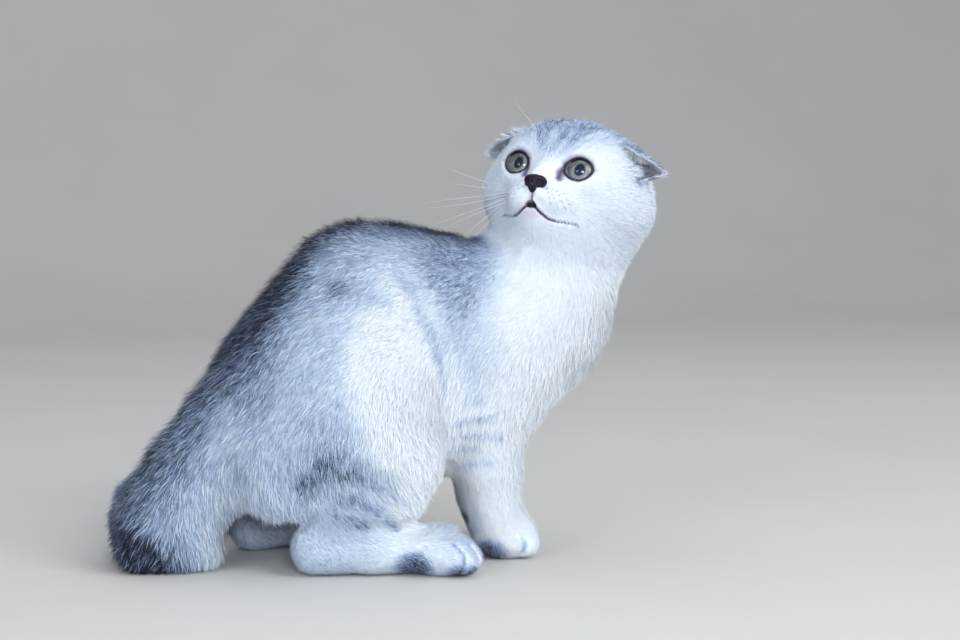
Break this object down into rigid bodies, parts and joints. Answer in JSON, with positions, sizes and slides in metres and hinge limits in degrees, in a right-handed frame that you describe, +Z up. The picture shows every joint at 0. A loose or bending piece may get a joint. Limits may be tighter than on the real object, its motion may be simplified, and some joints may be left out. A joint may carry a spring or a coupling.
{
  "type": "scottish fold cat",
  "caption": "Life-size crouching fold-eared kitten in short silver fur, back arched, head turned over its right shoulder, tail curled on the floor.",
  "frame": {"origin": "on the floor under the middle of the kitten's bounding box", "axes": "+X runs along the body from rump to chest, +Y points to the kitten's left, +Z up; the face looks back towards -X and -Y"},
  "size_m": [0.2878, 0.1828, 0.2328],
  "materials": {
    "coat": "short silver fur",
    "pale_coat": "short white fur",
    "ear": "thin skin with sparse fur",
    "eye": "clear and wet",
    "nose": "moist, finely pebbled"
  },
  "bodies": {
    "root": {"torso": "coat", "neck": "pale_coat", "head": "pale_coat", "ear_left": "ear", "ear_right": "ear", "eye_left": "eye", "eye_right": "eye", "nose": "nose", "foreleg_left": "pale_coat", "foreleg_right": "pale_coat", "hind_leg_left": "coat", "hind_leg_right": "coat", "tail_root": "coat", "tail_end": "coat"}
  },
  "joints": []
}
